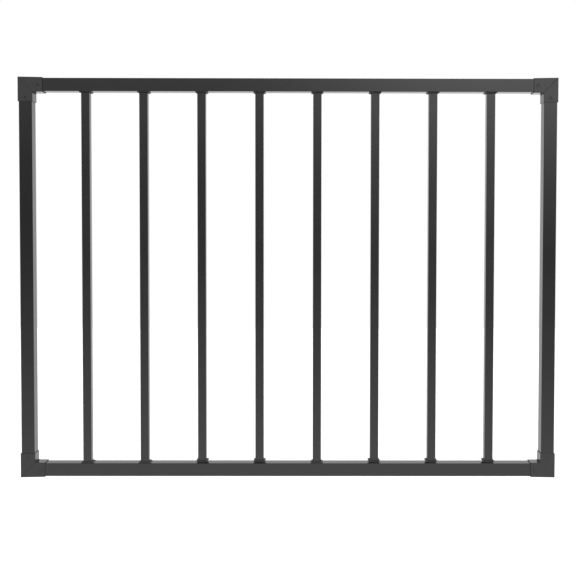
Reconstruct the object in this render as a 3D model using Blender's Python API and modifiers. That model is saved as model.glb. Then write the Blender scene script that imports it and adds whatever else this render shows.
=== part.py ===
# Deck gate leaf.
#
# An open frame of four square tubes, held at the corners by elbow brackets that sleeve over the
# tube ends, and filled with square balusters. Each baluster passes through a collar into a hole
# punched in the rail, so the rails carry the balusters without a weld.
#
# Frame: X runs along the gate from the hinge side to the latch side, Y from the front face to the
# back, Z up. The origin is on the outer face of the lower hinge-side bracket, in the middle of
# its upright leg. Lengths are in metres.

import math

import bmesh
import bpy
from mathutils import Matrix, Vector

# Overall size, over the tubes
gate_width = 1.024
gate_height = 0.762

# Frame tube, square
tube_size = 0.025
tube_wall = 0.0015
tube_corner = 0.0008

# Baluster tube, square
baluster_size = 0.016
baluster_wall = 0.0012
baluster_corner = 0.0006
baluster_pitch = 0.1105
baluster_entry = 0.014

# Collar that lines each punched hole and shows as a small sloping skirt round the baluster
collar_ledge = 0.0021
collar_height = 0.0022
collar_rim = 0.0008
collar_lip = 0.0006
collar_neck_wall = 0.0009
collar_neck_length = 0.0055
collar_edge = 0.0003
collar_lift = 0.003

# Elbow bracket, a sleeve with two legs
bracket_leg = 0.0465
bracket_wall = 0.0012
bracket_end_wall = 0.0009
bracket_corner_wall = 0.0017
bracket_edge = 0.0005
tight_seam = 0.0003
open_seam = 0.0008
seam_depth = 0.0007
screw_from_end = 0.0081
screw_hole = 0.0042
pilot_hole = 0.0034

# Air left between pieces that fit into each other, and how far a cutter passes through
fit_gap = 0.0003
overrun = 0.002

corner_steps = 4
edge_steps = 2
hole_sides = 16
flat_within = math.radians(1)

# Lower collars that have crept up off the rail, counted from the hinge side
lifted_collars = (3, 4, 6, 7, 8)

# Sizes that follow from the ones above
side_stand = fit_gap + bracket_wall
end_stand = fit_gap + bracket_end_wall
corner_stand = fit_gap + bracket_corner_wall
sleeve_depth = tube_size + 2 * side_stand
clear_width = gate_width - 2 * tube_size
baluster_count = int(clear_width / baluster_pitch)
row_width = (baluster_count - 1) * baluster_pitch

neck_size = baluster_size + 2 * (fit_gap + collar_neck_wall)
punch_size = neck_size + 2 * fit_gap
punch_depth = tube_wall + collar_neck_length
collar_base = punch_size + 2 * collar_ledge

rail_screw = bracket_leg - side_stand - screw_from_end
stile_screw = bracket_leg - corner_stand - screw_from_end

hinge_face = side_stand
latch_face = hinge_face + gate_width
bottom_face = corner_stand - bracket_leg / 2
top_face = bottom_face + gate_height
middle_x = (hinge_face + latch_face) / 2
middle_z = (bottom_face + top_face) / 2
lower_seat = bottom_face + tube_size
upper_seat = top_face - tube_size


def clear_scene():
    """Remove whatever the scene holds."""
    for old in list(bpy.data.objects):
        bpy.data.objects.remove(old, do_unlink=True)


def new_collection(name):
    """A collection of its own in the scene."""
    collection = bpy.data.collections.new(name)
    bpy.context.scene.collection.children.link(collection)
    return collection


def powder_coat():
    """Satin black powder coat on aluminium."""
    material = bpy.data.materials.new("satin_black_powder_coat")
    material.use_nodes = True
    shader = material.node_tree.nodes["Principled BSDF"]
    shader.inputs["Base Color"].default_value = (0.018, 0.018, 0.019, 1)
    shader.inputs["Roughness"].default_value = 0.42
    shader.inputs["Metallic"].default_value = 0
    return material


def cast_coat():
    """The same coat on the brackets, a shade lighter over their rougher skin."""
    material = bpy.data.materials.new("coated_bracket")
    material.use_nodes = True
    shader = material.node_tree.nodes["Principled BSDF"]
    shader.inputs["Base Color"].default_value = (0.024, 0.024, 0.025, 1)
    shader.inputs["Roughness"].default_value = 0.5
    shader.inputs["Metallic"].default_value = 0
    return material


def moulded_plastic():
    """Matt black plastic of the collars."""
    material = bpy.data.materials.new("moulded_black_plastic")
    material.use_nodes = True
    shader = material.node_tree.nodes["Principled BSDF"]
    shader.inputs["Base Color"].default_value = (0.02, 0.02, 0.021, 1)
    shader.inputs["Roughness"].default_value = 0.6
    shader.inputs["Metallic"].default_value = 0
    return material


def add_object(name, mesh, collection, location=(0, 0, 0), rotation=(0, 0, 0)):
    """An object for a mesh, placed by its location and rotation."""
    item = bpy.data.objects.new(name, mesh)
    item.location = location
    item.rotation_euler = rotation
    collection.objects.link(item)
    return item


def add_cutter(name, mesh, location=(0, 0, 0), rotation=(0, 0, 0)):
    """An object that only cuts: drawn as wire, never rendered."""
    item = add_object(name, mesh, cutters, location, rotation)
    item.hide_render = True
    item.display_type = "WIRE"
    return item


def cut(item, cutter):
    """Take the cutter's shape out of the item."""
    change = item.modifiers.new(f"cut by {cutter.name}", "BOOLEAN")
    change.operation = "DIFFERENCE"
    change.solver = "EXACT"
    change.object = cutter


def box_mesh(name, size_x, size_y, size_z):
    """A box round its own middle."""
    shape = bmesh.new()
    bmesh.ops.create_cube(shape, size=1)
    bmesh.ops.scale(shape, vec=(size_x, size_y, size_z), verts=shape.verts)
    mesh = bpy.data.meshes.new(name)
    shape.to_mesh(mesh)
    shape.free()
    return mesh


def rod_mesh(name, diameter, length):
    """A round rod along its own Z, round its own middle."""
    shape = bmesh.new()
    bmesh.ops.create_cone(
        shape,
        cap_ends=True,
        segments=hole_sides,
        radius1=diameter / 2,
        radius2=diameter / 2,
        depth=length,
    )
    mesh = bpy.data.meshes.new(name)
    shape.to_mesh(mesh)
    shape.free()
    return mesh


def rounded_square(size, radius):
    """Points of a square outline whose corners are arcs, or sharp at no radius."""
    reach = size / 2 - radius
    steps = corner_steps if radius > 0 else 0
    points = []
    for corner in range(4):
        start = corner * math.pi / 2
        centre = Vector((math.cos(start + math.pi / 4), math.sin(start + math.pi / 4)))
        centre *= reach * math.sqrt(2)
        for step in range(steps + 1):
            angle = start + math.pi / 2 * step / max(steps, 1)
            points.append(centre + radius * Vector((math.cos(angle), math.sin(angle))))
    return points


def add_outline(curve, points):
    """One closed outline on a flat curve."""
    spline = curve.splines.new("POLY")
    spline.points.add(len(points) - 1)
    for place, point in zip(spline.points, points):
        place.co = (point[0], point[1], 0, 1)
    spline.use_cyclic_u = True


def extruded_mesh(name, outlines, length):
    """The region between flat outlines, extruded along Z round its own middle, as a closed mesh."""
    curve = bpy.data.curves.new(name, "CURVE")
    curve.dimensions = "2D"
    curve.fill_mode = "BOTH"
    curve.extrude = length / 2
    for points in outlines:
        add_outline(curve, points)
    profile = add_object(name, curve, cutters)
    seen = profile.evaluated_get(bpy.context.evaluated_depsgraph_get())
    mesh = bpy.data.meshes.new_from_object(seen)
    mesh.name = name
    bpy.data.objects.remove(profile, do_unlink=True)
    shape = bmesh.new()
    shape.from_mesh(mesh)
    bmesh.ops.remove_doubles(shape, verts=shape.verts, dist=fit_gap / 10)
    bmesh.ops.recalc_face_normals(shape, faces=shape.faces)
    shape.to_mesh(mesh)
    shape.free()
    return mesh


def merge_flat_faces(mesh):
    """Make each flat side that was filled with triangles one face, so that cuts across it stay clean."""
    shape = bmesh.new()
    shape.from_mesh(mesh)
    bmesh.ops.dissolve_limit(
        shape, angle_limit=flat_within, verts=shape.verts, edges=shape.edges
    )
    shape.to_mesh(mesh)
    shape.free()
    return mesh


def tube_mesh(name, size, wall, corner, length):
    """A square tube along its own Z, with rounded corners outside."""
    outside = rounded_square(size, corner)
    inside = rounded_square(size - 2 * wall, max(corner - wall, 0))
    return extruded_mesh(name, (outside, inside), length)


def baluster_place(number):
    """How far along the gate a baluster stands, counted from the hinge side."""
    return middle_x - row_width / 2 + (number - 1) * baluster_pitch


def add_stile(name, place_x, material):
    """An upright of the frame, the full height of the gate."""
    mesh = tube_mesh(name, tube_size, tube_wall, tube_corner, gate_height)
    stile = add_object(name, mesh, gate, (place_x, 0, middle_z))
    stile.data.materials.append(material)
    for end, height in (("lower", bottom_face), ("upper", top_face)):
        inward = math.copysign(stile_screw, middle_z - height)
        drill = add_cutter(
            f"{name}_{end}_pilot",
            rod_mesh(f"{name}_{end}_pilot", pilot_hole, tube_size),
            (place_x, -tube_size / 2, height + inward),
            (math.pi / 2, 0, 0),
        )
        cut(stile, drill)
    return stile


def add_rail(name, middle_height, seat, material):
    """A rail between the stiles, with a hole punched in its inner wall for each baluster."""
    length = clear_width - 2 * fit_gap
    mesh = tube_mesh(name, tube_size, tube_wall, tube_corner, length)
    rail = add_object(name, mesh, gate, (middle_x, 0, middle_height), (0, math.pi / 2, 0))
    rail.data.materials.append(material)
    punch = add_cutter(
        f"{name}_punch",
        box_mesh(f"{name}_punch", punch_size, punch_size, 2 * punch_depth),
        (baluster_place(1), 0, seat),
    )
    row = punch.modifiers.new("row of holes", "ARRAY")
    row.count = baluster_count
    row.use_relative_offset = False
    row.use_constant_offset = True
    row.constant_offset_displace = (baluster_pitch, 0, 0)
    cut(rail, punch)
    for end, face in (("hinge", hinge_face), ("latch", latch_face)):
        inward = math.copysign(rail_screw, middle_x - face)
        drill = add_cutter(
            f"{name}_{end}_pilot",
            rod_mesh(f"{name}_{end}_pilot", pilot_hole, tube_size),
            (face + inward, -tube_size / 2, middle_height),
            (math.pi / 2, 0, 0),
        )
        cut(rail, drill)
    return rail


def bracket_outline(side, up):
    """Outside of the elbow, seen from the front, from the corner where the tubes' faces meet."""
    leg_x = bracket_leg - side_stand
    leg_z = bracket_leg - corner_stand
    inner = tube_size + side_stand
    points = [
        (-side_stand, -corner_stand),
        (leg_x, -end_stand),
        (leg_x, inner),
        (inner, inner),
        (inner, leg_z),
        (-side_stand, leg_z),
    ]
    return [(side * x, up * z) for x, z in points]


def sleeve_outline(side, up):
    """Hollow of the elbow: the path of both tubes with their clearance, run out at the ends."""
    leg = bracket_leg + overrun
    inner = tube_size + fit_gap
    points = [
        (-fit_gap, -fit_gap),
        (leg, -fit_gap),
        (leg, inner),
        (inner, inner),
        (inner, leg),
        (-fit_gap, leg),
    ]
    return [(side * x, up * z) for x, z in points]


def add_bracket(name, corner_x, corner_z, seam_width, material):
    """An elbow that sleeves over the ends of a stile and a rail, with a screw hole in each leg."""
    side = math.copysign(1, middle_x - corner_x)
    up = math.copysign(1, middle_z - corner_z)
    upright = (math.pi / 2, 0, 0)
    corner = Vector((corner_x, 0, corner_z))

    mesh = extruded_mesh(name, [bracket_outline(side, up)], sleeve_depth)
    bracket = add_object(name, merge_flat_faces(mesh), gate, corner, upright)
    bracket.data.materials.append(material)
    edges = bracket.modifiers.new("rounded edges", "BEVEL")
    edges.width = bracket_edge
    edges.segments = edge_steps
    edges.limit_method = "ANGLE"

    hollow_mesh = extruded_mesh(
        f"{name}_hollow", [sleeve_outline(side, up)], tube_size + 2 * fit_gap
    )
    hollow = merge_flat_faces(hollow_mesh)
    cut(bracket, add_cutter(f"{name}_hollow", hollow, corner, upright))

    diagonal = math.sqrt(2) * (tube_size + 2 * side_stand)
    middle = corner + Vector((side * tube_size / 2, 0, up * tube_size / 2))
    for face in (-1, 1):
        seam = add_cutter(
            f"{name}_seam_{'front' if face < 0 else 'back'}",
            box_mesh(f"{name}_seam", diagonal + 2 * overrun, 2 * seam_depth, seam_width),
            middle + Vector((0, face * sleeve_depth / 2, 0)),
            (0, -side * up * math.pi / 4, 0),
        )
        cut(bracket, seam)

    holes = ((rail_screw, tube_size / 2), (tube_size / 2, stile_screw))
    for number, (along, rise) in enumerate(holes, 1):
        drill = add_cutter(
            f"{name}_screw_{number}",
            rod_mesh(f"{name}_screw_{number}", screw_hole, 2 * (side_stand + overrun)),
            corner + Vector((side * along, -sleeve_depth / 2, up * rise)),
            upright,
        )
        cut(bracket, drill)
    return bracket


def add_balusters(material):
    """The row of balusters, which share one tube and reach into both rails."""
    length = upper_seat - lower_seat + 2 * baluster_entry
    mesh = tube_mesh("baluster", baluster_size, baluster_wall, baluster_corner, length)
    mesh.materials.append(material)
    for number in range(1, baluster_count + 1):
        add_object(f"baluster_{number}", mesh, gate, (baluster_place(number), 0, middle_z))


def collar_mesh(material):
    """A collar with its base at its own Z of nothing: rim, sloping skirt and neck, bored through."""
    bore_size = baluster_size + 2 * fit_gap
    top_size = bore_size + 2 * collar_lip
    root_two = math.sqrt(2)

    shape = bmesh.new()
    slope = bmesh.ops.create_cone(
        shape,
        cap_ends=True,
        segments=4,
        radius1=collar_base / root_two,
        radius2=top_size / root_two,
        depth=collar_height - collar_rim,
    )
    bmesh.ops.rotate(
        shape,
        verts=slope["verts"],
        cent=(0, 0, 0),
        matrix=Matrix.Rotation(math.pi / 4, 3, "Z"),
    )
    shape.faces.ensure_lookup_table()
    underside = min(shape.faces, key=lambda face: face.calc_center_median().z)
    grown = bmesh.ops.extrude_face_region(shape, geom=[underside])
    rim = [part for part in grown["geom"] if isinstance(part, bmesh.types.BMVert)]
    bmesh.ops.translate(shape, verts=rim, vec=(0, 0, -collar_rim))
    bmesh.ops.delete(shape, geom=[underside], context="FACES")
    bmesh.ops.translate(
        shape, verts=shape.verts, vec=(0, 0, (collar_height + collar_rim) / 2)
    )
    skirt_edges = [edge for edge in shape.edges if edge.is_manifold]
    bmesh.ops.bevel(
        shape,
        geom=skirt_edges,
        offset=collar_edge,
        segments=edge_steps,
        affect="EDGES",
        profile=0.5,
    )
    bmesh.ops.recalc_face_normals(shape, faces=shape.faces)
    mesh = bpy.data.meshes.new("collar")
    shape.to_mesh(mesh)
    shape.free()

    model = add_object("collar_model", mesh, cutters)
    neck = add_cutter(
        "collar_neck",
        box_mesh("collar_neck", neck_size, neck_size, collar_neck_length + collar_rim),
        (0, 0, (collar_rim - collar_neck_length) / 2),
    )
    joined = model.modifiers.new("neck", "BOOLEAN")
    joined.operation = "UNION"
    joined.solver = "EXACT"
    joined.object = neck
    bore_length = 2 * (collar_neck_length + collar_height + overrun)
    cut(model, add_cutter("collar_bore", box_mesh("collar_bore", bore_size, bore_size, bore_length)))
    seen = model.evaluated_get(bpy.context.evaluated_depsgraph_get())
    finished = bpy.data.meshes.new_from_object(seen)
    finished.name = "baluster_collar"
    finished.materials.append(material)
    bpy.data.objects.remove(model, do_unlink=True)
    return finished


def add_collars(material):
    """A collar at each end of each baluster, the upper ones turned over."""
    mesh = collar_mesh(material)
    for number in range(1, baluster_count + 1):
        place = baluster_place(number)
        lift = collar_lift if number in lifted_collars else 0
        lower = (place, 0, lower_seat + fit_gap + lift)
        upper = (place, 0, upper_seat - fit_gap)
        add_object(f"lower_collar_{number}", mesh, gate, lower)
        add_object(f"upper_collar_{number}", mesh, gate, upper, (math.pi, 0, 0))


clear_scene()
gate = new_collection("deck_gate")
cutters = new_collection("cutters")

coat = powder_coat()
bracket_coat = cast_coat()
plastic = moulded_plastic()

add_stile("hinge_stile", hinge_face + tube_size / 2, coat)
add_stile("latch_stile", latch_face - tube_size / 2, coat)
add_rail("bottom_rail", bottom_face + tube_size / 2, lower_seat, coat)
add_rail("top_rail", top_face - tube_size / 2, upper_seat, coat)

add_bracket("lower_hinge_bracket", hinge_face, bottom_face, tight_seam, bracket_coat)
add_bracket("upper_hinge_bracket", hinge_face, top_face, tight_seam, bracket_coat)
add_bracket("lower_latch_bracket", latch_face, bottom_face, tight_seam, bracket_coat)
add_bracket("upper_latch_bracket", latch_face, top_face, open_seam, bracket_coat)

add_balusters(coat)
add_collars(plastic)
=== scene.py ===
# %% [markdown]
# # A deck gate in satin black
#
# The real gate is an open frame of square tube, closed by eight upright balusters. Four elbow
# sleeves hold the corners, a small plastic collar lines each baluster hole, and everything is
# black. A plain black object is a hard subject, because nearly all that the eye sees of it is
# what it mirrors. So this lesson spends its care on three things: the small parts that catch
# light, the skin of the coating, and the studio that the skin mirrors.

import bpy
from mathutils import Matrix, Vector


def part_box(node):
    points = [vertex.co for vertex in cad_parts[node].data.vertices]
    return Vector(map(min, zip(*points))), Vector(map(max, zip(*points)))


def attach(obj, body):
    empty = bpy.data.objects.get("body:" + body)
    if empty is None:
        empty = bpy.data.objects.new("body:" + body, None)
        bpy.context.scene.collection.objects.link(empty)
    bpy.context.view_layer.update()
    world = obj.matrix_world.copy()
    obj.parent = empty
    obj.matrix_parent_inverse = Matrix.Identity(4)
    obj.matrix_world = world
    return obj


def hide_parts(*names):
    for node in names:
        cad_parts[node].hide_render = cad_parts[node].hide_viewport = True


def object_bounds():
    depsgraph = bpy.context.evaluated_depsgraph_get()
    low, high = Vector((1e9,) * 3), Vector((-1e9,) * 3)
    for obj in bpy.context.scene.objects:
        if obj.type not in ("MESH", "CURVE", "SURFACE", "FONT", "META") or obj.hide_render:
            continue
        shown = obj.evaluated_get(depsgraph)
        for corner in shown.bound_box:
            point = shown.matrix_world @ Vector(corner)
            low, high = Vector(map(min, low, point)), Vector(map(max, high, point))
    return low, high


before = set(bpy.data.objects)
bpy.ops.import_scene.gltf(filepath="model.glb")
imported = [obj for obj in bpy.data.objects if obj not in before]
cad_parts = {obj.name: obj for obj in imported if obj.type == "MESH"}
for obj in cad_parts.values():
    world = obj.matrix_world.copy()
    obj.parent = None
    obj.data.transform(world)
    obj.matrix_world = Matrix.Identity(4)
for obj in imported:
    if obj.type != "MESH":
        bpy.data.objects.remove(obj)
cad_low, cad_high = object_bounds()
print("CAD box", [round(value, 4) for value in (*cad_low, *cad_high)])

# %% [markdown]
# ## Sizes from the solids
#
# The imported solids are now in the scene, one object for each piece, in metres. They give the
# place of everything in this lesson: a tube's face or a sleeve's end is read from its box and
# never typed again. The frame is the same on either side of its upright middle line and of its
# level one, so both lines are worked out here as well.

# %% Measure the frame
import math

import bmesh
import bpy
from mathutils import Matrix, Vector

millimetre = 0.001

stile_low, stile_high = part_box("hinge_stile")
rail_low, rail_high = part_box("bottom_rail")
elbow_low, elbow_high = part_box("lower_hinge_bracket")
baluster_low, baluster_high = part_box("baluster_1")
latch_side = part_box("latch_stile")[1].x
top_rail_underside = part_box("top_rail")[0].z

middle_x = (stile_low.x + latch_side) / 2
middle_z = (stile_low.z + stile_high.z) / 2
tube = stile_high.x - stile_low.x
baluster = baluster_high.x - baluster_low.x
baluster_count = sum(name.startswith("baluster_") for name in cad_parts)
print(f"tube {tube / millimetre:.1f} mm, baluster {baluster / millimetre:.1f} mm")
print("balusters:", baluster_count)

# %% [markdown]
# ## Camera
#
# The photo was taken from in front of the gate's middle, 1.8 metres away and level with the
# upper half of the balusters. So the bottom rail shows a little of its top, and the top rail a
# little of its underside. The lens was worked out from where the gate's edges fall in the
# picture. Its centre isn't the picture's, as if the picture had been cropped afterwards, and a
# small lens shift copies that.

# %% Set the camera
photo_side = 576
focal_length_pixels = 950.7
optical_centre_pixels = (309.7, 257.7)
camera_place = (0.5459, -1.8284, 0.4590)
camera_tilt_down = math.radians(1.868)
camera_turn_right = math.radians(0.268)
camera_roll = math.radians(0.084)
sensor_millimetres = 36

lens = bpy.data.cameras.new("studio_camera")
lens.sensor_width = sensor_millimetres
lens.lens = sensor_millimetres * focal_length_pixels / photo_side
lens.shift_x = 0.5 - optical_centre_pixels[0] / photo_side
lens.shift_y = optical_centre_pixels[1] / photo_side - 0.5
lens.dof.use_dof = False
camera = bpy.data.objects.new("studio_camera", lens)
camera.location = camera_place
camera.rotation_euler = (math.pi / 2 - camera_tilt_down, -camera_roll, -camera_turn_right)
bpy.context.scene.collection.objects.link(camera)
bpy.context.scene.camera = camera
print(f"lens {lens.lens:.1f} mm, shift {lens.shift_x:.3f}, {lens.shift_y:.3f}")

# %% [markdown]
# ## Colours and nodes
#
# Colours are written as the hex values that a paint chart or a picture editor shows. Blender's
# shaders work in linear light, so one function turns them. A second small function adds a shader
# node, gives it its settings and plugs in its links, and everything below is shaded with it.

# %% Colour and node helpers
# A Mix node has a set of sockets for each kind of value. These are the ones for colours.
first_colour, second_colour, mixed_colour = 6, 7, 2


def linear_colour(hex_code):
    """A colour such as #202020 as the four linear numbers of a shader socket."""
    channels = [int(hex_code[start : start + 2], 16) / 255 for start in (1, 3, 5)]
    # The numbers of this curve are the sRGB standard's own.
    linear = [c / 12.92 if c <= 0.04045 else ((c + 0.055) / 1.055) ** 2.4 for c in channels]
    return (*linear, 1)


def add_node(tree, kind, settings=None, inputs=None):
    """A node with its settings, whose inputs are values or the sockets that feed them."""
    node = tree.nodes.new(kind)
    for name, value in (settings or {}).items():
        setattr(node, name, value)
    for name, value in (inputs or {}).items():
        if isinstance(value, bpy.types.NodeSocket):
            tree.links.new(value, node.inputs[name])
        else:
            node.inputs[name].default_value = value
    return node


print("#808080 in linear light is", round(linear_colour("#808080")[0], 3))

# %% [markdown]
# ## Studio
#
# The photo is a catalogue picture: the gate stands in front of white, and its floor is burnt out
# to white as well. What the black coat mirrors is the rest of the studio. Its front faces mirror
# the dark room round the camera, a bright floor in front of it and a lit wall over its right
# shoulder, so they run from nearly black at the middle to a soft grey at the bottom and the top
# right. The inner faces are seen along their length, where any coat turns into a mirror, and
# there they mirror the white behind. Black flags at both sides, a dim ceiling and shade straight
# below give each joint, groove and screw a thin dark line.
#
# Lamps and cards could build all this, but their edges would show in the flat faces. A sky of a
# few soft steps has no edges, so the world does it.

# %% [markdown]
# ## Floor
#
# The photo shows neither a shadow nor a floor line, so the floor lies some way below the gate. It
# is one large plane in matt white paint, a little uneven as a rolled floor is. The mirrors have a
# bright floor of their own in the sky, so this one is hidden from them.

# %% Set the floor
floor_drop = 0.30
floor_side = 11.0
floor_centre = (middle_x, 0, cad_low.z - floor_drop)

bpy.ops.object.select_all(action="DESELECT")
bpy.ops.mesh.primitive_plane_add(size=floor_side, location=floor_centre)
floor = bpy.context.object
floor.name = "studio_floor"
bpy.ops.object.transform_apply(location=True, rotation=False, scale=False)
floor.visible_glossy = False
print("floor", floor_side, "m across, top at", round(floor_centre[2], 3))

# %% Paint the floor
scuff_length = 400 * millimetre
paint_roughness = 0.7

floor_paint = bpy.data.materials.new("matt_white_floor_paint")
floor_paint.use_nodes = True
paint_tree = floor_paint.node_tree
paint = paint_tree.nodes["Principled BSDF"]
floor_place = add_node(paint_tree, "ShaderNodeTexCoord").outputs["Object"]
scuffs = add_node(
    paint_tree, "ShaderNodeTexNoise", inputs={"Vector": floor_place, "Scale": 1 / scuff_length}
).outputs["Fac"]
white = add_node(
    paint_tree,
    "ShaderNodeMix",
    {"data_type": "RGBA"},
    {
        first_colour: linear_colour("#f4f4f4"),
        second_colour: linear_colour("#efefef"),
        "Factor": scuffs,
    },
)
paint_tree.links.new(white.outputs[mixed_colour], paint.inputs["Base Color"])
paint.inputs["Roughness"].default_value = paint_roughness
floor.data.materials.append(floor_paint)
print("floor painted with", floor_paint.name)

# %% [markdown]
# ## Sky
#
# The world's own coordinates are directions. Taken apart, a direction gives three numbers from
# minus one to one, which say how far it points to the right, to the back and up. The first one
# times itself is large at both sides, and the two flags use that.

# %% Take a direction apart
world = bpy.data.worlds.new("soft_white_studio")
world.use_nodes = True
bpy.context.scene.world = world
sky = world.node_tree
sky.nodes.clear()

direction = add_node(sky, "ShaderNodeTexCoord").outputs["Generated"]
numbers = add_node(sky, "ShaderNodeSeparateXYZ", inputs={"Vector": direction}).outputs
rightwards = numbers["X"]
backwards = numbers["Y"]
upwards = numbers["Z"]
sideways = add_node(
    sky, "ShaderNodeMath", {"operation": "MULTIPLY"}, {0: rightwards, 1: rightwards}
).outputs[0]
print("a direction has", len(numbers), "numbers: right, back and up")

# %% [markdown]
# Each soft step is a Map Range node on one of these numbers. A row of the table gives its number
# and, at its start and at its end, first the number's value and then the light there. Some steps
# give a strength, others the share that is left of one. All were judged from the greys of the
# photo: a face's grey is the light in the one direction that it mirrors.

# %% Place the soft steps
floor_glow = 1.78
overhead = 1.27
overhead_right = 3.20
flag_share = 0.18
white_behind = 1.10
behind_above = 0.82
behind_left_share = 0.91
ceiling_share = 0.50
underfoot_share = 0.20

soft_steps = {
    "bright floor": (upwards, (-0.42, floor_glow), (0.126, 0)),
    "upper room": (upwards, (-0.074, 0), (0.30, 1)),
    "lit right": (rightwards, (-0.10, overhead), (0.197, overhead_right)),
    "flags": (sideways, (0.20, 1), (0.55, flag_share)),
    "white wall": (upwards, (0.03, white_behind), (0.25, behind_above)),
    "dim left": (rightwards, (-0.30, behind_left_share), (0.0, 1)),
    "front to back": (backwards, (0.20, 0), (0.70, 1)),
    "ceiling": (upwards, (0.35, 1), (0.80, ceiling_share)),
    "underfoot": (upwards, (-0.80, underfoot_share), (-0.45, 1)),
}
light = {}
for name, (number, (start, low), (end, high)) in soft_steps.items():
    light[name] = add_node(
        sky,
        "ShaderNodeMapRange",
        {"interpolation_type": "SMOOTHSTEP"},
        {"Value": number, "From Min": start, "From Max": end, "To Min": low, "To Max": high},
    ).outputs["Result"]
print("soft steps:", len(light))

# %% [markdown]
# The steps are worked into one strength by sums and products of two lights at a time. The front
# is the floor's glow, the light from overhead and the little that any dark room gives, dimmed by
# the flags. The back is the white wall, dimmed to the left. A Mix node turns from one to the
# other, and the ceiling and the shade underfoot take their shares from the result.

# %% Work the steps into one light
room_dark = 0.005

light["dark room"] = room_dark
recipe = (
    ("overhead", "MULTIPLY", "upper room", "lit right"),
    ("floor and overhead", "ADD", "bright floor", "overhead"),
    ("open front", "ADD", "floor and overhead", "dark room"),
    ("front", "MULTIPLY", "open front", "flags"),
    ("back", "MULTIPLY", "white wall", "dim left"),
    ("above and below", "MULTIPLY", "ceiling", "underfoot"),
)
for name, operation, one, other in recipe:
    light[name] = add_node(
        sky, "ShaderNodeMath", {"operation": operation}, {0: light[one], 1: light[other]}
    ).outputs[0]

all_round = add_node(
    sky,
    "ShaderNodeMix",
    {"data_type": "FLOAT"},
    {"Factor": light["front to back"], "A": light["front"], "B": light["back"]},
).outputs["Result"]
strength = add_node(
    sky, "ShaderNodeMath", {"operation": "MULTIPLY"}, {0: all_round, 1: light["above and below"]}
).outputs[0]
print("front light from", room_dark, "to", overhead_right)
print("back light from", behind_above, "to", white_behind)

# %% [markdown]
# The camera shouldn't see the studio but the white of a catalogue page. A Light Path node knows
# which rays come straight from the camera, and those meet a plain white, from wherever the
# camera looks. The Standard view shows each grey as it was worked out, where others would dim
# the white.

# %% White to the camera
page_white = linear_colour("#ffffff")

mirrored = add_node(
    sky, "ShaderNodeBackground", inputs={"Color": page_white, "Strength": strength}
)
seen = add_node(sky, "ShaderNodeBackground", inputs={"Color": page_white, "Strength": 1})
ray = add_node(sky, "ShaderNodeLightPath")
either = add_node(
    sky,
    "ShaderNodeMixShader",
    inputs={0: ray.outputs["Is Camera Ray"], 1: mirrored.outputs[0], 2: seen.outputs[0]},
)
add_node(sky, "ShaderNodeOutputWorld", inputs={"Surface": either.outputs[0]})

view = bpy.context.scene.view_settings
view.view_transform = "Standard"
view.look = "None"
view.exposure = 0
view.gamma = 1
print("world nodes:", len(sky.nodes))

# %% [markdown]
# ## Softbox
#
# The sky alone would leave the floor grey, because most of it is a dark room. A square softbox
# overhead, wider than the floor, burns all of it out to white. A lamp this wide throws no
# shadow with an edge. No mirror shows it, so it hardly changes the greys of the gate.

# %% Hang the softbox
softbox_height = 2.6
softbox_side = 14.0
softbox_watts = 500

softbox = bpy.data.lights.new("overhead_softbox", "AREA")
softbox.shape = "SQUARE"
softbox.size = softbox_side
softbox.energy = softbox_watts
lamp = bpy.data.objects.new("overhead_softbox", softbox)
lamp.location = (middle_x, 0, floor_centre[2] + softbox_height)
lamp.visible_glossy = False
bpy.context.scene.collection.objects.link(lamp)
print("softbox", softbox_side, "m wide,", softbox_height, "m above the floor")

# %% [markdown]
# ## Black skins
#
# Polyester powder is sprayed dry on the metal and baked until it flows. Where it lies thicker or
# thinner, its colour and gloss drift a little along a tube. An image of a coat could be wrapped
# round the pieces, but noise on Object coordinates needs no unwrapping and keeps its real size on
# every piece. One slow noise drives both the colour and the gloss, as one cause does in the coat.

# %% Colour and gloss that drift
drift_length = 90 * millimetre
gloss_drift = 0.02
# Noise hardly ever leaves this range, so the gloss uses all of its drift.
drift_low, drift_high = 0.3, 0.7


def add_drift(tree, shader, place, dark, pale, roughness):
    """Let colour and gloss wander a little from one stretch of a piece to the next."""
    drift = add_node(
        tree, "ShaderNodeTexNoise", inputs={"Vector": place, "Scale": 1 / drift_length, "Detail": 2}
    ).outputs["Fac"]
    black = add_node(
        tree,
        "ShaderNodeMix",
        {"data_type": "RGBA"},
        {first_colour: linear_colour(dark), second_colour: linear_colour(pale), "Factor": drift},
    )
    gloss = add_node(
        tree,
        "ShaderNodeMapRange",
        inputs={
            "Value": drift,
            "From Min": drift_low,
            "From Max": drift_high,
            "To Min": roughness - gloss_drift,
            "To Max": roughness + gloss_drift,
        },
    )
    tree.links.new(black.outputs[mixed_colour], shader.inputs["Base Color"])
    tree.links.new(gloss.outputs["Result"], shader.inputs["Roughness"])


print("colour and gloss drift over", round(drift_length / millimetre), "mm")

# %% [markdown]
# The powder never quite levels, so the skin keeps an orange peel of some two millimetres from
# hill to hill, and a much finer grain from the satin additive. Both are too small for geometry,
# so they are bumps in the shading, the grain riding on the peel. Both are drawn coarser than they
# are, the peel up to twice and the grain at 0.8 millimetre, because at their real sizes they
# would be lost between the pixels.

# %% Orange peel
grain_length = 0.8 * millimetre
grain_height = 0.01 * millimetre
grain_strength = 0.15
peel_strength = 0.5


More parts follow.
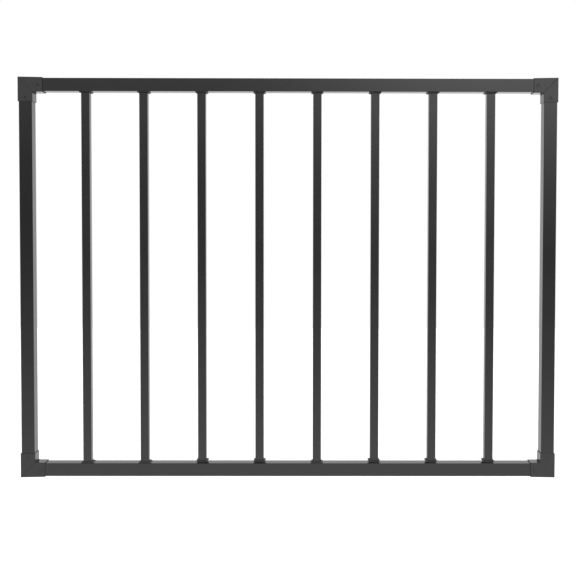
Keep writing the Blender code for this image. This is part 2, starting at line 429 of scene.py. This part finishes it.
def add_peel(tree, shader, place, height, length):
    """Low hills of the given height and length, with a finer grain on them."""
    grain = add_node(
        tree, "ShaderNodeTexNoise", inputs={"Vector": place, "Scale": 1 / grain_length, "Detail": 2}
    ).outputs["Fac"]
    hills = add_node(
        tree, "ShaderNodeTexNoise", inputs={"Vector": place, "Scale": 1 / length, "Detail": 1}
    ).outputs["Fac"]
    fine = add_node(
        tree,
        "ShaderNodeBump",
        inputs={"Strength": grain_strength, "Distance": grain_height, "Height": grain},
    ).outputs["Normal"]
    coarse = add_node(
        tree,
        "ShaderNodeBump",
        inputs={"Strength": peel_strength, "Distance": height, "Height": hills, "Normal": fine},
    ).outputs["Normal"]
    tree.links.new(coarse, shader.inputs["Normal"])


print("grain of", round(grain_length / millimetre, 1), "mm on every skin")

# %% [markdown]
# A skin is mixed from these two helpers. The moulded nylon of the collars goes through the same
# function as the coats, because it differs from them only in its two blacks, its roughness and
# its bumps. All are resins of nearly the same index of refraction, and none is a metal to the
# light.

# %% Mix one skin
resin_ior = 1.52


def mix_skin(name, dark, pale, roughness, peel):
    """A black skin between two blacks, with its roughness and its peel's height and length."""
    skin = bpy.data.materials.new(name)
    skin.use_nodes = True
    tree = skin.node_tree
    shader = tree.nodes["Principled BSDF"]
    place = add_node(tree, "ShaderNodeTexCoord").outputs["Object"]
    add_drift(tree, shader, place, dark, pale, roughness)
    add_peel(tree, shader, place, *peel)
    shader.inputs["Metallic"].default_value = 0
    shader.inputs["IOR"].default_value = resin_ior
    return skin


print("index of refraction", resin_ior)

# %% Powder coats
fine_peel = (0.02 * millimetre, 4 * millimetre)
ground_peel = (0.03 * millimetre, 3 * millimetre)
side_roughness = 0.16

# On smooth drawn tube the coat levels well, and the frame mirrors the studio like dark glass.
tube_coat = mix_skin(
    "satin_polyester_powder_coat", "#090909", "#0d0d0d", roughness=0.15, peel=fine_peel
)
# The coat of the thin balusters is a shade paler and duller, so they look softer.
baluster_coat = mix_skin(
    "satin_powder_coat_on_balusters", "#0f0f0f", "#131313", roughness=0.18, peel=fine_peel
)
# Ground metal stays rough below its coat, so the sleeves' fronts look paler and more even.
sleeve_coat = mix_skin(
    "powder_coat_on_ground_sleeve", "#181818", "#1c1c1c", roughness=0.38, peel=ground_peel
)
# Their sides are smooth, as the die left them, and seen along their length they turn to mirrors.
side_coat = mix_skin(
    "powder_coat_on_smooth_sides", "#0c0c0c", "#101010", roughness=side_roughness, peel=fine_peel
)
print("on metal:", tube_coat.name, baluster_coat.name, sleeve_coat.name, side_coat.name)

# %% Moulded nylon
mould_grain = (0.01 * millimetre, 1.5 * millimetre)

# Nylon from a mould is matt, so a collar shows its form and hardly a reflection.
collar_plastic = mix_skin(
    "moulded_black_polyamide", "#1e1e1e", "#222222", roughness=0.55, peel=mould_grain
)
# A neck is left rougher than the skirt, and its black is made darker than the skirt's as painted
# shade, so it looks dark where it shows below one.
shaded_neck_plastic = mix_skin(
    "rough_polyamide_neck_with_painted_shade", "#141414", "#181818", roughness=0.80, peel=mould_grain
)
print("of nylon:", collar_plastic.name, shaded_neck_plastic.name)

# %% [markdown]
# ## Modelling as by hand
#
# Every piece is made in the same way. It starts as a primitive of the right size, and its place
# is applied, so that the mesh holds it. An operator acts on all that is selected, so one piece
# is taken up alone before each one.

# %% Take up a piece and add a block
def take_up(piece):
    """Select one piece alone and make it the active one."""
    bpy.ops.object.select_all(action="DESELECT")
    piece.select_set(True)
    bpy.context.view_layer.objects.active = piece


def add_block(name, low, high):
    """A box between two corners, with its place kept in the mesh."""
    low, high = Vector(low), Vector(high)
    bpy.ops.object.select_all(action="DESELECT")
    bpy.ops.mesh.primitive_cube_add(size=1, location=(low + high) / 2, scale=high - low)
    bpy.ops.object.transform_apply(location=True, rotation=False, scale=True)
    block = bpy.context.object
    block.name = name
    return block


# %% [markdown]
# In edit mode, faces and edges are picked in code, by where they are and which way they look. The
# rule is a small function that gets the numbers of one face or edge and says yes or no.

# %% Pick faces and edges
near = 0.05 * millimetre
facing = 0.9


def edit(piece):
    """Open one piece in edit mode with nothing picked."""
    take_up(piece)
    bpy.ops.object.mode_set(mode="EDIT")
    bpy.ops.mesh.select_all(action="DESELECT")


def pick_faces(piece, wanted):
    """Pick the faces for which wanted(middle, normal) holds, in edit mode."""
    bpy.ops.mesh.select_mode(type="FACE")
    mesh = bmesh.from_edit_mesh(piece.data)
    for face in mesh.faces:
        face.select_set(bool(wanted(face.calc_center_median(), face.normal)))
    mesh.select_flush_mode()
    bmesh.update_edit_mesh(piece.data)


def pick_edges(piece, wanted):
    """Pick the edges for which wanted(one end, other end) holds, in edit mode."""
    bpy.ops.mesh.select_mode(type="EDGE")
    mesh = bmesh.from_edit_mesh(piece.data)
    for edge in mesh.edges:
        edge.select_set(bool(wanted(edge.verts[0].co, edge.verts[1].co)))
    bmesh.update_edit_mesh(piece.data)


def leave_edit():
    """Close edit mode, so that the mesh takes the changes."""
    bpy.ops.object.mode_set(mode="OBJECT")


print("places are matched to within", near / millimetre, "mm")
print("a face looks along an axis when its normal points there by", facing, "or more")

# %% [markdown]
# A finished piece is smoothed by angle, so that roundings shine evenly and sharp edges stay
# crisp. A Weighted Normal modifier then hands the shading of each rounding's edge to the large
# face beside it. Without it the flat faces would look swollen, and a black mirror shows that
# more than any other surface.

# %% Smooth a piece
crisp_angle = math.radians(35)
large_faces_first = 100


def smooth(piece):
    """Smooth shading that stays crisp at sharp edges and leaves the large flat faces flat."""
    take_up(piece)
    bpy.ops.object.shade_smooth_by_angle(angle=crisp_angle)
    flat = piece.modifiers.new("flat faces", "WEIGHTED_NORMAL")
    flat.keep_sharp = True
    flat.weight = large_faces_first
    bpy.ops.object.modifier_apply(modifier=flat.name)


print("edges over", round(math.degrees(crisp_angle)), "degrees stay crisp")

# %% [markdown]
# ## Square tubes
#
# The frame and the balusters are drawn aluminium tube: four flat walls, four rounded corners,
# sawn off square at the ends. A profile could be drawn and extruded, but a block is quicker. Its
# two ends are inset by the wall, and a bridge between the insets gives it a real bore. Only then
# are its four long outer edges beveled, because an inset that is wider than a rounded corner
# would cross itself there.

# %% One square tube
corner_segments = 4


def add_square_tube(name, low, high, wall, radius):
    """A hollow square tube between two corners of its box, along its longest side."""
    hollow = add_block(name, low, high)
    size = Vector(high) - Vector(low)
    along = max(range(3), key=lambda axis: size[axis])
    across = (along + 1) % 3
    edit(hollow)
    pick_faces(hollow, lambda middle, normal: abs(normal[along]) > facing)
    bpy.ops.mesh.inset(thickness=wall)
    bpy.ops.mesh.bridge_edge_loops()
    pick_edges(
        hollow,
        lambda one, other: abs(one[along] - other[along]) > size[along] - near
        and min(one[across] - low[across], high[across] - one[across]) < near,
    )
    bpy.ops.mesh.bevel(offset=radius, segments=corner_segments, affect="EDGES")
    leave_edit()
    smooth(hollow)
    return hollow


print("a tube's corner is rounded in", corner_segments, "steps")

# %% [markdown]
# The two stiles are alike, and so are the two rails before they are punched and the eight
# balusters. So each kind is modelled once and copied. Every copy has a mesh of its own, because
# the export and the holes to come need one for each piece.

# %% Make the frame tubes
tube_wall = 1.5 * millimetre
tube_radius = 0.8 * millimetre


def copy_of(pattern, name, place):
    """A copy of a piece with a mesh of its own, moved to its place."""
    piece = pattern.copy()
    piece.data = pattern.data.copy()
    piece.name = name
    piece.data.transform(place)
    bpy.context.scene.collection.objects.link(piece)
    return piece


tubes = {}
for first, second in (("hinge_stile", "latch_stile"), ("bottom_rail", "top_rail")):
    low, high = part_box(first)
    shift = Matrix.Translation(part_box(second)[0] - low)
    tubes[first] = add_square_tube(f"{first}_tube", low, high, tube_wall, tube_radius)
    tubes[second] = copy_of(tubes[first], f"{second}_tube", shift)
frame_members = tuple(tubes)
print("frame tubes:", *frame_members)

# %% Make the balusters
baluster_wall = 1.2 * millimetre
baluster_radius = 0.6 * millimetre

tubes["baluster_1"] = add_square_tube(
    "baluster_1_tube", baluster_low, baluster_high, baluster_wall, baluster_radius
)
for number in range(2, baluster_count + 1):
    name = f"baluster_{number}"
    shift = Matrix.Translation(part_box(name)[0] - baluster_low)
    tubes[name] = copy_of(tubes["baluster_1"], f"{name}_tube", shift)
print(len(tubes), "tubes of", len(tubes["baluster_1"].data.polygons), "faces each")

# %% [markdown]
# ## Punched holes
#
# Each rail has a square hole punched through one wall for every baluster, a little larger than
# the neck of the collar that lines it. A hole could be drawn into the wall with a knife, but a
# Boolean does what the punch does, and gives the hole the wall's real depth. The punch itself is
# thrown away after each blow.

# %% Cut one piece with another
def cut_away(piece, cutter):
    """Cut one piece with another and throw the cutter away."""
    boolean = piece.modifiers.new("cut", "BOOLEAN")
    boolean.operation = "DIFFERENCE"
    boolean.solver = "EXACT"
    boolean.object = cutter
    take_up(piece)
    bpy.ops.object.modifier_apply(modifier=boolean.name)
    bpy.data.objects.remove(cutter)


print("faces of a rail before the punch:", len(tubes["bottom_rail"].data.polygons))

# %% Punch the rails
neck_size = 18.4 * millimetre
punch_play = 0.6 * millimetre
punch_half = (neck_size + punch_play) / 2
punch_reach = 2 * tube_wall

for number in range(1, baluster_count + 1):
    low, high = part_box(f"baluster_{number}")
    x = (low.x + high.x) / 2
    for rail, face in (("bottom_rail", rail_high.z), ("top_rail", top_rail_underside)):
        punch = add_block(
            "punch",
            (x - punch_half, -punch_half, face - punch_reach),
            (x + punch_half, punch_half, face + punch_reach),
        )
        cut_away(tubes[rail], punch)
print("faces after it:", len(tubes["bottom_rail"].data.polygons))

# %% [markdown]
# ## Pilot holes
#
# Two screws hold the tubes in each sleeve, one through each leg. They bite into small round pilot
# holes in the tubes' front walls. The eight places are worked out once, for the lower sleeve on
# the hinge side, and mirrored across the middle lines.

# %% Find the screws
screw_from_end = 8.1 * millimetre

sleeve_screws = {
    "rail": (elbow_high.x - screw_from_end, (rail_low.z + rail_high.z) / 2),
    "stile": ((stile_low.x + stile_high.x) / 2, elbow_high.z - screw_from_end),
}
screw_places = {}
for side in ("hinge", "latch"):
    for level in ("lower", "upper"):
        for member, (x, z) in sleeve_screws.items():
            mirrored_x = x if side == "hinge" else 2 * middle_x - x
            mirrored_z = z if level == "lower" else 2 * middle_z - z
            screw_places[level, side, member] = Vector((mirrored_x, 0, mirrored_z))
print("screws:", len(screw_places))

# %% A round bar
round_sides = 32


def add_rod(name, diameter, start, end):
    """A round bar between two points."""
    start, end = Vector(start), Vector(end)
    bpy.ops.object.select_all(action="DESELECT")
    bpy.ops.mesh.primitive_cylinder_add(
        vertices=round_sides,
        radius=diameter / 2,
        depth=(end - start).length,
        location=(start + end) / 2,
        rotation=(end - start).to_track_quat("Z", "Y").to_euler(),
    )
    bpy.ops.object.transform_apply(location=True, rotation=True, scale=True)
    rod = bpy.context.object
    rod.name = name
    return rod


print("a round bar has", round_sides, "sides")

# %% Drill the pilot holes
pilot_hole = 3.4 * millimetre
rails = {"lower": "bottom_rail", "upper": "top_rail"}

for (level, side, member), place in screw_places.items():
    front = place + Vector((0, stile_low.y - tube_wall, 0))
    back = place + Vector((0, stile_low.y + 2 * tube_wall, 0))
    drilled = f"{side}_stile" if member == "stile" else rails[level]
    cut_away(tubes[drilled], add_rod("pilot", pilot_hole, front, back))
for name in frame_members:
    smooth(tubes[name])
    print(name, len(tubes[name].data.polygons), "faces")

# %% [markdown]
# A finished piece gets its skins and rides on the gate's one body, because nothing in the gate
# moves. It also takes the place of the plain solid that it was measured from.

# %% Dress the tubes
def dress(piece, slot, *skins):
    """Give a finished piece its skins and its body; the slot argument is not used."""
    piece.data.materials.clear()
    for skin in skins:
        piece.data.materials.append(skin)
    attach(piece, "root")


for name, piece in tubes.items():
    dress(piece, "powder_coat", baluster_coat if name.startswith("baluster") else tube_coat)
    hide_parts(name)
print("tubes dressed:", len(tubes))

# %% [markdown]
# ## Elbow sleeves
#
# Each corner is a short hollow elbow: two cast legs, welded along the mitre and ground flat on
# the front and the back before coating. It could be made of two legs cut at 45 degrees. But one
# body, bent round the corner by an extrusion, keeps its outside in one piece, as the ground and
# coated real one looks. The underside of the level leg rises a little towards its end, because
# the castings are thickest at the corner.

# %% Bend an elbow
end_stand = 1.2 * millimetre
sleeve_stand = stile_low.x - elbow_low.x
corner_stand = rail_low.z - elbow_low.z
sleeve_length = elbow_high.x - elbow_low.x
inner_x = stile_high.x + sleeve_stand
inner_z = rail_high.z + sleeve_stand


def bend_elbow(name):
    """The outside of the lower elbow on the hinge side, not hollow yet."""
    elbow = add_block(name, elbow_low, (inner_x, elbow_high.y, elbow_high.z))
    edit(elbow)
    bpy.ops.mesh.select_all(action="SELECT")
    bpy.ops.mesh.bisect(plane_co=(0, 0, inner_z), plane_no=(0, 0, 1))
    pick_faces(elbow, lambda middle, normal: normal.x > facing and middle.z < inner_z)
    leg = elbow_high.x - inner_x
    bpy.ops.mesh.extrude_region_move(TRANSFORM_OT_translate={"value": (leg, 0, 0)})
    for x in (inner_x, elbow_high.x):
        pick_edges(
            elbow,
            lambda one, other: max(abs(one.x - x), abs(other.x - x)) < near
            and max(one.z, other.z) < elbow_low.z + near,
        )
        rise = (corner_stand - end_stand) * (x - elbow_low.x) / sleeve_length
        bpy.ops.transform.translate(value=(0, 0, rise))
    leave_edit()
    return elbow


print(f"a sleeve stands {sleeve_stand / millimetre:.1f} mm proud of its stile")
print(f"and {corner_stand / millimetre:.1f} mm proud of its rail at the corner")

# %% [markdown]
# All the edges of the bent block are rounded before anything is cut, with a Bevel modifier that
# takes every edge sharper than its angle. Later it would round the mouths and the seam as well,
# and those should stay crisp.

# %% Round the edges of an elbow
sleeve_edge = 0.4 * millimetre
sleeve_edge_segments = 3


def round_elbow(elbow):
    """Round all edges of an elbow that isn't hollow yet."""
    rounding = elbow.modifiers.new("rounded edges", "BEVEL")
    rounding.width = sleeve_edge
    rounding.segments = sleeve_edge_segments
    rounding.limit_method = "ANGLE"
    take_up(elbow)
    bpy.ops.object.modifier_apply(modifier=rounding.name)


print("edges rounded by", sleeve_edge / millimetre, "mm")

# %% [markdown]
# The frame tubes push into the legs, and the stile runs right down to the corner. So each leg is
# bored with a block of its tube's size and a small gap all round, and the two bores meet inside.

# %% Bore an elbow
fit_gap = 0.3 * millimetre
cutter_reach = 2 * sleeve_length


def bore_elbow(elbow):
    """Open both legs for their tubes."""
    gap = Vector((fit_gap, fit_gap, fit_gap))
    start = Vector((stile_low.x, stile_low.y, rail_low.z)) - gap
    stile_end = Vector((stile_high.x, stile_high.y, cutter_reach)) + gap
    rail_end = Vector((cutter_reach, stile_high.y, rail_high.z)) + gap
    cut_away(elbow, add_block("stile_bore", start, stile_end))
    cut_away(elbow, add_block("rail_bore", start, rail_end))


print("fit gap", fit_gap / millimetre, "mm")

# %% [markdown]
# The weld is ground off, but its line still shows as a fine groove along the diagonal, on the
# front and on the back. A thin square bar, laid on edge in the face, cuts a groove with slanting
# sides. Three of the seams are tight, and the one at the top on the latch side stands open.

# %% Cut the seams of an elbow
tight_seam = 0.3 * millimetre
open_seam = 0.8 * millimetre
eighth_turn = math.pi / 4


def cut_seams(elbow, width):
    """A groove of the given width along the mitre, in the front and in the back."""
    bar_half = width / (2 * math.sqrt(2))
    diagonal_middle = Vector((inner_x + elbow_low.x, 0, inner_z + elbow_low.z)) / 2
    for face in (elbow_low.y, elbow_high.y):
        bar = add_block(
            "seam",
            (-cutter_reach, -bar_half, -bar_half),
            (cutter_reach, bar_half, bar_half),
        )
        bar.matrix_world = (
            Matrix.Translation(diagonal_middle + Vector((0, face, 0)))
            @ Matrix.Rotation(-eighth_turn, 4, "Y")
            @ Matrix.Rotation(eighth_turn, 4, "X")
        )
        cut_away(elbow, bar)


print("seams", tight_seam / millimetre, "and", open_seam / millimetre, "mm wide")

# %% [markdown]
# A screw hole goes through the front wall of each leg. So many cuts leave points that nearly
# touch and now and then a sliver of a gap, so the mesh is welded and small holes are filled last.

# %% Drill and close an elbow
screw_hole = 4.2 * millimetre
drill_start = 1.2 * millimetre
weld_distance = near / 10
largest_gap_sides = 4


def drill_elbow(elbow):
    """A round hole through the front wall of each leg."""
    for member in sleeve_screws:
        place = screw_places["lower", "hinge", member]
        front = place + Vector((0, elbow_low.y - drill_start, 0))
        back = place + Vector((0, stile_low.y, 0))
        cut_away(elbow, add_rod("screw_hole", screw_hole, front, back))


def close_elbow(elbow):
    """Weld what nearly touches and fill what is still open."""
    edit(elbow)
    bpy.ops.mesh.select_all(action="SELECT")
    bpy.ops.mesh.remove_doubles(threshold=weld_distance)
    bpy.ops.mesh.select_all(action="SELECT")
    bpy.ops.mesh.fill_holes(sides=largest_gap_sides)
    leave_edit()


print("screw hole", screw_hole / millimetre, "mm wide")

# %% [markdown]
# ## Thin coat in the inner corners
#
# Powder is drawn to its target by a charge, and the charge doesn't reach into a tight corner. So
# the coat is thin and dull there, and each elbow shows a small dark spot where its legs meet. The
# spot is a copy of the side coat, whose gloss falls off within a few millimetres of the corner,
# by height alone. Only faces that look along the gate on the corner's inner side wear it: the
# inner sides of the upright legs and the narrow end rims of the level ones.

# %% Find the height off the middle
corner_coat = side_coat.copy()
corner_coat.name = "thin_powder_coat_in_corner"
corner_tree = corner_coat.node_tree

place = add_node(corner_tree, "ShaderNodeTexCoord").outputs["Object"]
height = add_node(corner_tree, "ShaderNodeSeparateXYZ", inputs={"Vector": place}).outputs["Z"]
off_middle = add_node(
    corner_tree, "ShaderNodeMath", {"operation": "SUBTRACT"}, {0: height, 1: middle_z}
).outputs[0]
distance = add_node(
    corner_tree, "ShaderNodeMath", {"operation": "ABSOLUTE"}, {0: off_middle}
).outputs[0]
print("middle height", round(middle_z / millimetre, 1), "mm")

# %% [markdown]
# Measured from the middle height, the lower and the upper corners lie equally far away, so one
# fade serves all four. It takes the place of the drifting gloss, whose node is removed.

# %% Thin the coat
bare_reach = 3.0 * millimetre
bare_blend = 1.0 * millimetre
bare_roughness = 0.70
bare_start = middle_z - inner_z - bare_reach

corner_shader = corner_tree.nodes["Principled BSDF"]
corner_tree.nodes.remove(corner_shader.inputs["Roughness"].links[0].from_node)
fading_gloss = add_node(
    corner_tree,
    "ShaderNodeMapRange",
    inputs={
        "Value": distance,
        "From Min": bare_start,
        "From Max": bare_start + bare_blend,
        "To Min": side_roughness,
        "To Max": bare_roughness,
    },
)
corner_tree.links.new(fading_gloss.outputs["Result"], corner_shader.inputs["Roughness"])
print("thin coat from", round(bare_start / millimetre, 1), "mm off the middle height")

# %% [markdown]
# ## Four elbows
#
# An elbow is modelled at the lower corner on the hinge side, once with each seam, and its copies
# are mirrored to their corners. One mirror turns a mesh inside out, which shows as a
# determinant below zero, and its normals are then flipped back. The ground fronts and backs, the
# smooth sides and the inner corners get a coat each.

# %% Mirror and coat an elbow
half_facing = 0.5
ground, smooth_side, thin = 0, 1, 2


def mirror_to(side, level):
    """The matrix that mirrors the lower corner on the hinge side to another corner."""
    flip = Matrix.Identity(4)
    if side == "latch":
        flip = Matrix.Translation((2 * middle_x, 0, 0)) @ Matrix.Diagonal((-1, 1, 1, 1)) @ flip
    if level == "upper":
        flip = Matrix.Translation((0, 0, 2 * middle_z)) @ Matrix.Diagonal((1, 1, -1, 1)) @ flip
    return flip


def choose_coat(face):
    """The number of the coat that one face of an elbow wears."""
    if abs(face.normal.y) > half_facing:
        return ground
    off_middle_line = abs(face.center.x - middle_x)
    if abs(face.normal.x) > facing and off_middle_line < middle_x - inner_x + near:
        return thin
    return smooth_side


print("elbow coats:", sleeve_coat.name, side_coat.name, corner_coat.name)

# %% Model the two elbows
def add_elbow(seam):
    """The lower elbow on the hinge side, with a seam of the given width."""
    elbow = bend_elbow("elbow_pattern")
    round_elbow(elbow)
    bore_elbow(elbow)
    cut_seams(elbow, seam)
    drill_elbow(elbow)
    close_elbow(elbow)
    print("elbow of", len(elbow.data.polygons), "faces")
    return elbow


elbow_patterns = {"tight": add_elbow(tight_seam), "open": add_elbow(open_seam)}

# %% [markdown]
# Each copy takes its place and is measured against the solid that it stands for. The level leg's
# underside slopes, so it reaches furthest at the corner's edge, and the rounding of that edge
# takes some thousandths of a millimetre off.

# %% Set the elbows
def box_error(piece, node):
    """How far the corners of a piece's box are from those of its solid's."""
    low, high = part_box(node)
    corners = [Vector(corner) for corner in piece.bound_box]
    lowest = Vector(map(min, *corners))
    highest = Vector(map(max, *corners))
    return max((lowest - low).length, (highest - high).length)


for side in ("hinge", "latch"):
    for level in ("lower", "upper"):
        node = f"{level}_{side}_bracket"
        seam = "open" if node == "upper_latch_bracket" else "tight"
        flip = mirror_to(side, level)
        elbow = copy_of(elbow_patterns[seam], f"{level}_{side}_elbow", flip)
        if flip.determinant() < 0:
            elbow.data.flip_normals()
        smooth(elbow)
        dress(elbow, "bracket_coat", sleeve_coat, side_coat, corner_coat)
        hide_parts(node)
        for face in elbow.data.polygons:
            face.material_index = choose_coat(face)
        print(node, "is off its solid by", round(box_error(elbow, node) / millimetre, 3), "mm")
for pattern in elbow_patterns.values():
    bpy.data.objects.remove(pattern)

# %% [markdown]
# ## Collars
#
# A collar is a small moulding of black nylon: a low four-sided skirt that hides the punched hole,
# and a neck that plugs into it. Lofting one square into the next would do, but a flat block gets
# there sooner. Its upper part is an extrusion with a smaller end, its neck an inset of the
# underside that is pushed down, and the skirt's edges are rounded as a mould leaves them.

# %% One collar
collar_base = 23.2 * millimetre
collar_height = 2.2 * millimetre
collar_rim = 0.8 * millimetre
collar_top = 17.8 * millimetre
collar_neck = 5.5 * millimetre
collar_bore = baluster + 2 * fit_gap
collar_edge = 0.3 * millimetre
collar_edge_segments = 2


def add_collar():
    """A collar whose skirt stands on height zero, with its neck below it."""
    half = collar_base / 2
    collar = add_block("collar_pattern", (-half, -half, 0), (half, half, collar_rim))
    edit(collar)
    pick_faces(collar, lambda middle, normal: normal.z > facing)
    rise = collar_height - collar_rim
    bpy.ops.mesh.extrude_region_move(TRANSFORM_OT_translate={"value": (0, 0, rise)})
    shrink = collar_top / collar_base
    bpy.ops.transform.resize(value=(shrink, shrink, 1), center_override=(0, 0, collar_height))
    pick_faces(collar, lambda middle, normal: normal.z < -facing)
    bpy.ops.mesh.inset(thickness=(collar_base - neck_size) / 2)
    bpy.ops.mesh.extrude_region_move(TRANSFORM_OT_translate={"value": (0, 0, -collar_neck)})
    pick_edges(collar, lambda one, other: max(one.z, other.z) > near)
    bpy.ops.mesh.bevel(offset=collar_edge, segments=collar_edge_segments, affect="EDGES")
    leave_edit()
    half = collar_bore / 2
    reach = 2 * collar_neck
    cut_away(collar, add_block("bore", (-half, -half, -reach), (half, half, reach)))
    smooth(collar)
    return collar


collar_pattern = add_collar()
print("collar", len(collar_pattern.data.polygons), "faces")

# %% [markdown]
# One collar is copied sixteen times, and the upper ones are turned over. Five of the lower ones
# have crept up a little, and their solids say how far. A gap in shade shows below those, where the
# rougher neck is bare, so every face below the skirt gets the neck's skin, darkened as painted
# shade.

# %% Set the collars
skirt, neck = 0, 1

for number in range(1, baluster_count + 1):
    for level, upright in (("lower", 1), ("upper", -1)):
        node = f"{level}_collar_{number}"
        low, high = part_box(node)
        seat = high.z - collar_height if upright > 0 else low.z + collar_height
        place = Matrix.Translation(((low.x + high.x) / 2, (low.y + high.y) / 2, seat))
        turn = Matrix.Rotation(0 if upright > 0 else math.pi, 4, "X")
        collar = copy_of(collar_pattern, f"{node}_moulding", place @ turn)
        dress(collar, "collar_plastic", collar_plastic, shaded_neck_plastic)
        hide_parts(node)
        # Faces below the skirt take the neck's skin, whose darker black is painted shade.
        for face in collar.data.polygons:
            shaded_below_skirt = (face.center.z - seat) * upright < -near
            face.material_index = neck if shaded_below_skirt else skirt
bpy.data.objects.remove(collar_pattern)
print("collars set:", 2 * baluster_count)

# %% [markdown]
# ## Screws
#
# The eight screws that hold the tubes in the sleeves are small cross-head screws with a low, wide
# head, coated like the sleeves. The head is a short rod with a rounded rim, and the shank an inset
# of its underside, pulled out. The cross is cut with two wedges, each a block with one end made
# smaller. The coat has nearly filled it in the lower four, so two depths are made.

# %% One screw
head_size = 7.4 * millimetre
head_height = 0.7 * millimetre
head_rim_segments = 3
shank_size = 3.2 * millimetre
shank_length = 9.0 * millimetre
cross_length = 4.6 * millimetre
cross_width = 1.3 * millimetre
cross_taper = 0.45


def cut_cross(head, depth):
    """Two crossed wedges cut from the face of a head."""
    for turn in (0, math.pi / 2):
        wedge = add_block(
            "wedge",
            (-cross_length / 2, -head_height - depth, -cross_width / 2),
            (cross_length / 2, -head_height + depth, cross_width / 2),
        )
        edit(wedge)
        pick_faces(wedge, lambda middle, normal: normal.y > facing)
        bpy.ops.transform.resize(value=(cross_taper, 1, cross_taper), center_override=(0, 0, 0))
        leave_edit()
        wedge.rotation_euler.y = turn
        cut_away(head, wedge)


def add_screw(depth):
    """A screw along Y, with its head in front of the origin and its shank behind it."""
    screw = add_rod("screw_pattern", head_size, (0, -head_height, 0), (0, 0, 0))
    edit(screw)
    pick_edges(screw, lambda one, other: max(one.y, other.y) < near - head_height)
    bpy.ops.mesh.bevel(offset=head_height / 2, segments=head_rim_segments, affect="EDGES")
    pick_faces(screw, lambda middle, normal: normal.y > facing)
    bpy.ops.mesh.inset(thickness=(head_size - shank_size) / 2)
    bpy.ops.mesh.extrude_region_move(TRANSFORM_OT_translate={"value": (0, shank_length, 0)})
    leave_edit()
    cut_cross(screw, depth)
    smooth(screw)
    return screw


print("screw head", head_size / millimetre, "mm wide")

# %% Drive the screws
cross_depth = 1.8 * millimetre
filled_depth = 0.35 * millimetre

screw_patterns = {"upper": add_screw(cross_depth), "lower": add_screw(filled_depth)}
for (level, side, member), place in screw_places.items():
    seat = Matrix.Translation(place + Vector((0, elbow_low.y, 0)))
    screw = copy_of(screw_patterns[level], f"screw_{level}_{side}_{member}", seat)
    dress(screw, "bracket_coat", sleeve_coat)
for pattern in screw_patterns.values():
    print("screw of", len(pattern.data.polygons), "faces")
    bpy.data.objects.remove(pattern)
print("screws driven:", len(screw_places))
